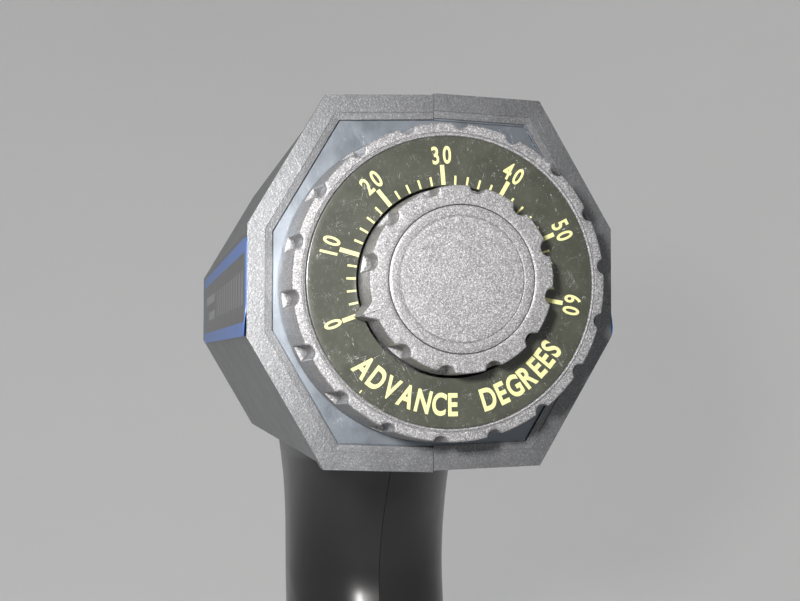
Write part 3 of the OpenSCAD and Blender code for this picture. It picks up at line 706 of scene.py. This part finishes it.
def side_label(name, node, side):
    """A glued label: blue border, dark panel, and pale blocks where the lettering was."""
    lo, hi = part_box(node)
    x = (hi.x if side > 0 else lo.x) / MM
    y0, y1 = lo.y / MM, hi.y / MM
    z0, z1 = lo.z / MM, hi.z / MM
    corner, edge_y, edge_z, columns, rows = 2.2, 3.4, 3.0, 60, 12
    border, panel, block = 0, 1, 2
    rounding = (0, 0.12, 0.35, 0.65, 1)
    ys = sorted({y0 + corner * t for t in rounding} | {y1 - corner * t for t in rounding}
        | {y0 + edge_y, y1 - edge_y}
        | {y0 + edge_y + (y1 - y0 - 2 * edge_y) * i / columns for i in range(1, columns)})
    zs = sorted({z0, z1, z0 + corner, z1 - corner, z0 + edge_z, z1 - edge_z}
        | {z0 + edge_z + (z1 - z0 - 2 * edge_z) * i / rows for i in range(1, rows)})
    verts, faces, kinds = [], [], []

    def edge(y):
        """How far the rounded corner pulls the edge in at y."""
        near = min(y - y0, y1 - y)
        return corner - math.sqrt(max(corner ** 2 - (corner - near) ** 2, 0)) if near < corner else 0.0

    blocks = [(y0 + 8 + 8.2 * i, y0 + 12.8 + 8.2 * i, z0 + 7.2, z1 - 7.2) for i in range(12)]
    blocks += [(y0 + 114, y0 + 156, z1 - 8.8, z1 - 7.2), (y0 + 114, y0 + 142, z0 + 7.2, z0 + 8.8)]
    for y in ys:
        drop = edge(y)
        for z in zs:
            t = (z - z0) / (z1 - z0)
            low, high = z0 + drop, z1 - drop
            lift = 0.45 * smooth(1 - (y - y0) / 5) * smooth(1 - (z - z0) / 5)
            wave = 0.015 * math.sin(y * 0.31 + z * 0.2)
            verts.append(Vector(((x - side * 0.02 + side * (lift + wave)), y, low + (high - low) * t)) * MM)
    n = len(zs)
    for i in range(len(ys) - 1):
        for j in range(n - 1):
            quad = (i * n + j, (i + 1) * n + j, (i + 1) * n + j + 1, i * n + j + 1)
            faces.append(quad if side > 0 else quad[::-1])
            y, z = (ys[i] + ys[i + 1]) / 2, (zs[j] + zs[j + 1]) / 2
            kind = border
            if y0 + edge_y < y < y1 - edge_y and z0 + edge_z < z < z1 - edge_z:
                kind = block if any(a < y < b and c < z < d for a, b, c, d in blocks) else panel
            kinds.append(kind)
    mesh = bpy.data.meshes.new(name)
    mesh.from_pydata(verts, [], faces)
    mesh.polygons.foreach_set("material_index", kinds)
    holder = bpy.data.objects.new("label_raw", mesh)
    bpy.context.scene.collection.objects.link(holder)
    solid = holder.modifiers.new("thick", "SOLIDIFY")
    solid.thickness = 0.18 * MM
    solid.offset = -1
    done = baked(holder)
    bpy.data.objects.remove(holder)
    kinds = [p.material_index for p in done.polygons]
    return finish_piece(name, done, [LOOKS["label"], PANEL, MARKS], "housing", (node,), 40, kinds)


side_label("label_left_skin", "label_left", -1)
side_label("label_right_skin", "label_right", 1)


# ---------------------------------------------------------------- stage, light and camera

def backdrop():
    """A pale floor that curves up into a wall all around."""
    steps, flat_r, cove_r, wall_top, cove_steps = 96, 0.4, 1.0, 3.0, 24
    profile = [(0.0, 0.0), (flat_r / 2, 0.0), (flat_r, 0.0)]
    for i in range(1, cove_steps + 1):
        a = math.pi / 2 * i / cove_steps
        profile.append((flat_r + cove_r * math.sin(a), cove_r - cove_r * math.cos(a)))
    profile.append((flat_r + cove_r, wall_top))
    verts = [Vector((0, 0, 0))]
    faces = []
    for r, z in profile[1:]:
        verts += [Vector((r * math.cos(2 * math.pi * i / steps), r * math.sin(2 * math.pi * i / steps), z))
            for i in range(steps)]
    faces += [(0, 1 + i, 1 + (i + 1) % steps) for i in range(steps)]
    for k in range(len(profile) - 2):
        for i in range(steps):
            a, b = 1 + k * steps, 1 + (k + 1) * steps
            faces.append((a + i, b + i, b + (i + 1) % steps, a + (i + 1) % steps))
    mesh = bpy.data.meshes.new("studio_floor")
    mesh.from_pydata(verts, [], faces)
    mesh.shade_smooth()
    look = Look("studio_paint", (0.74, 0.74, 0.735), 0.85, 0.0, 0.2)
    look.tint(look.span(look.grain(400, 3), 0.4, 0.7, 0.0, 0.3), (0.71, 0.71, 0.705))
    look.relief(look.grain(3, 2), 0.05)
    mesh.materials.append(look.done())
    floor = bpy.data.objects.new("studio_floor", mesh)
    bpy.context.scene.collection.objects.link(floor)


def area(name, at, aim, size, watts, color=(1, 1, 1)):
    """A round area light at a place, aimed at another; metres and watts."""
    data = bpy.data.lights.new(name, "AREA")
    data.shape = "DISK"
    data.size = size
    data.energy = watts
    data.color = color
    lamp = bpy.data.objects.new(name, data)
    lamp.location = at
    lamp.rotation_euler = (Vector(aim) - Vector(at)).to_track_quat("-Z", "Y").to_euler()
    bpy.context.scene.collection.objects.link(lamp)
    return lamp


backdrop()
key = area("key", (-0.112, -0.360, 0.180), (-0.012, -0.09, 0.150), 0.035, 0.37, (1.0, 0.985, 0.97))
key.data.spread = math.radians(86)
area("top_soft", (-0.5, 0.3, 1.5), (0, 0, 0.1), 1.2, 8.0)
area("front_soft", (0.9, 1.1, 0.9), (0, 0, 0.1), 0.8, 4.0)

world = bpy.data.worlds.new("studio")
world.use_nodes = True
world.node_tree.nodes["Background"].inputs["Color"].default_value = (0.80, 0.82, 0.85, 1)
world.node_tree.nodes["Background"].inputs["Strength"].default_value = 0.32
bpy.context.scene.world = world

# Camera solved from the rim and the circles of the dial: degrees about Z, X and Y, and where it stands
YAW, PITCH, ROLL = -10.96, 2.33, -0.14
camera_data = bpy.data.cameras.new("camera")
camera_data.sensor_width = 36
camera_data.lens = 61.4
camera_data.clip_start = 0.01
camera = bpy.data.objects.new("camera", camera_data)
camera.location = (-0.0618, -0.35967, 0.13514)
turn = Matrix.Rotation(math.radians(YAW), 4, "Z") @ Matrix.Rotation(math.radians(PITCH), 4, "X") \
    @ Matrix.Rotation(math.radians(ROLL), 4, "Y") @ Matrix.Rotation(math.radians(90), 4, "X")
camera.rotation_euler = turn.to_euler()
bpy.context.scene.collection.objects.link(camera)
bpy.context.scene.camera = camera
bpy.context.scene.view_settings.view_transform = "Standard"
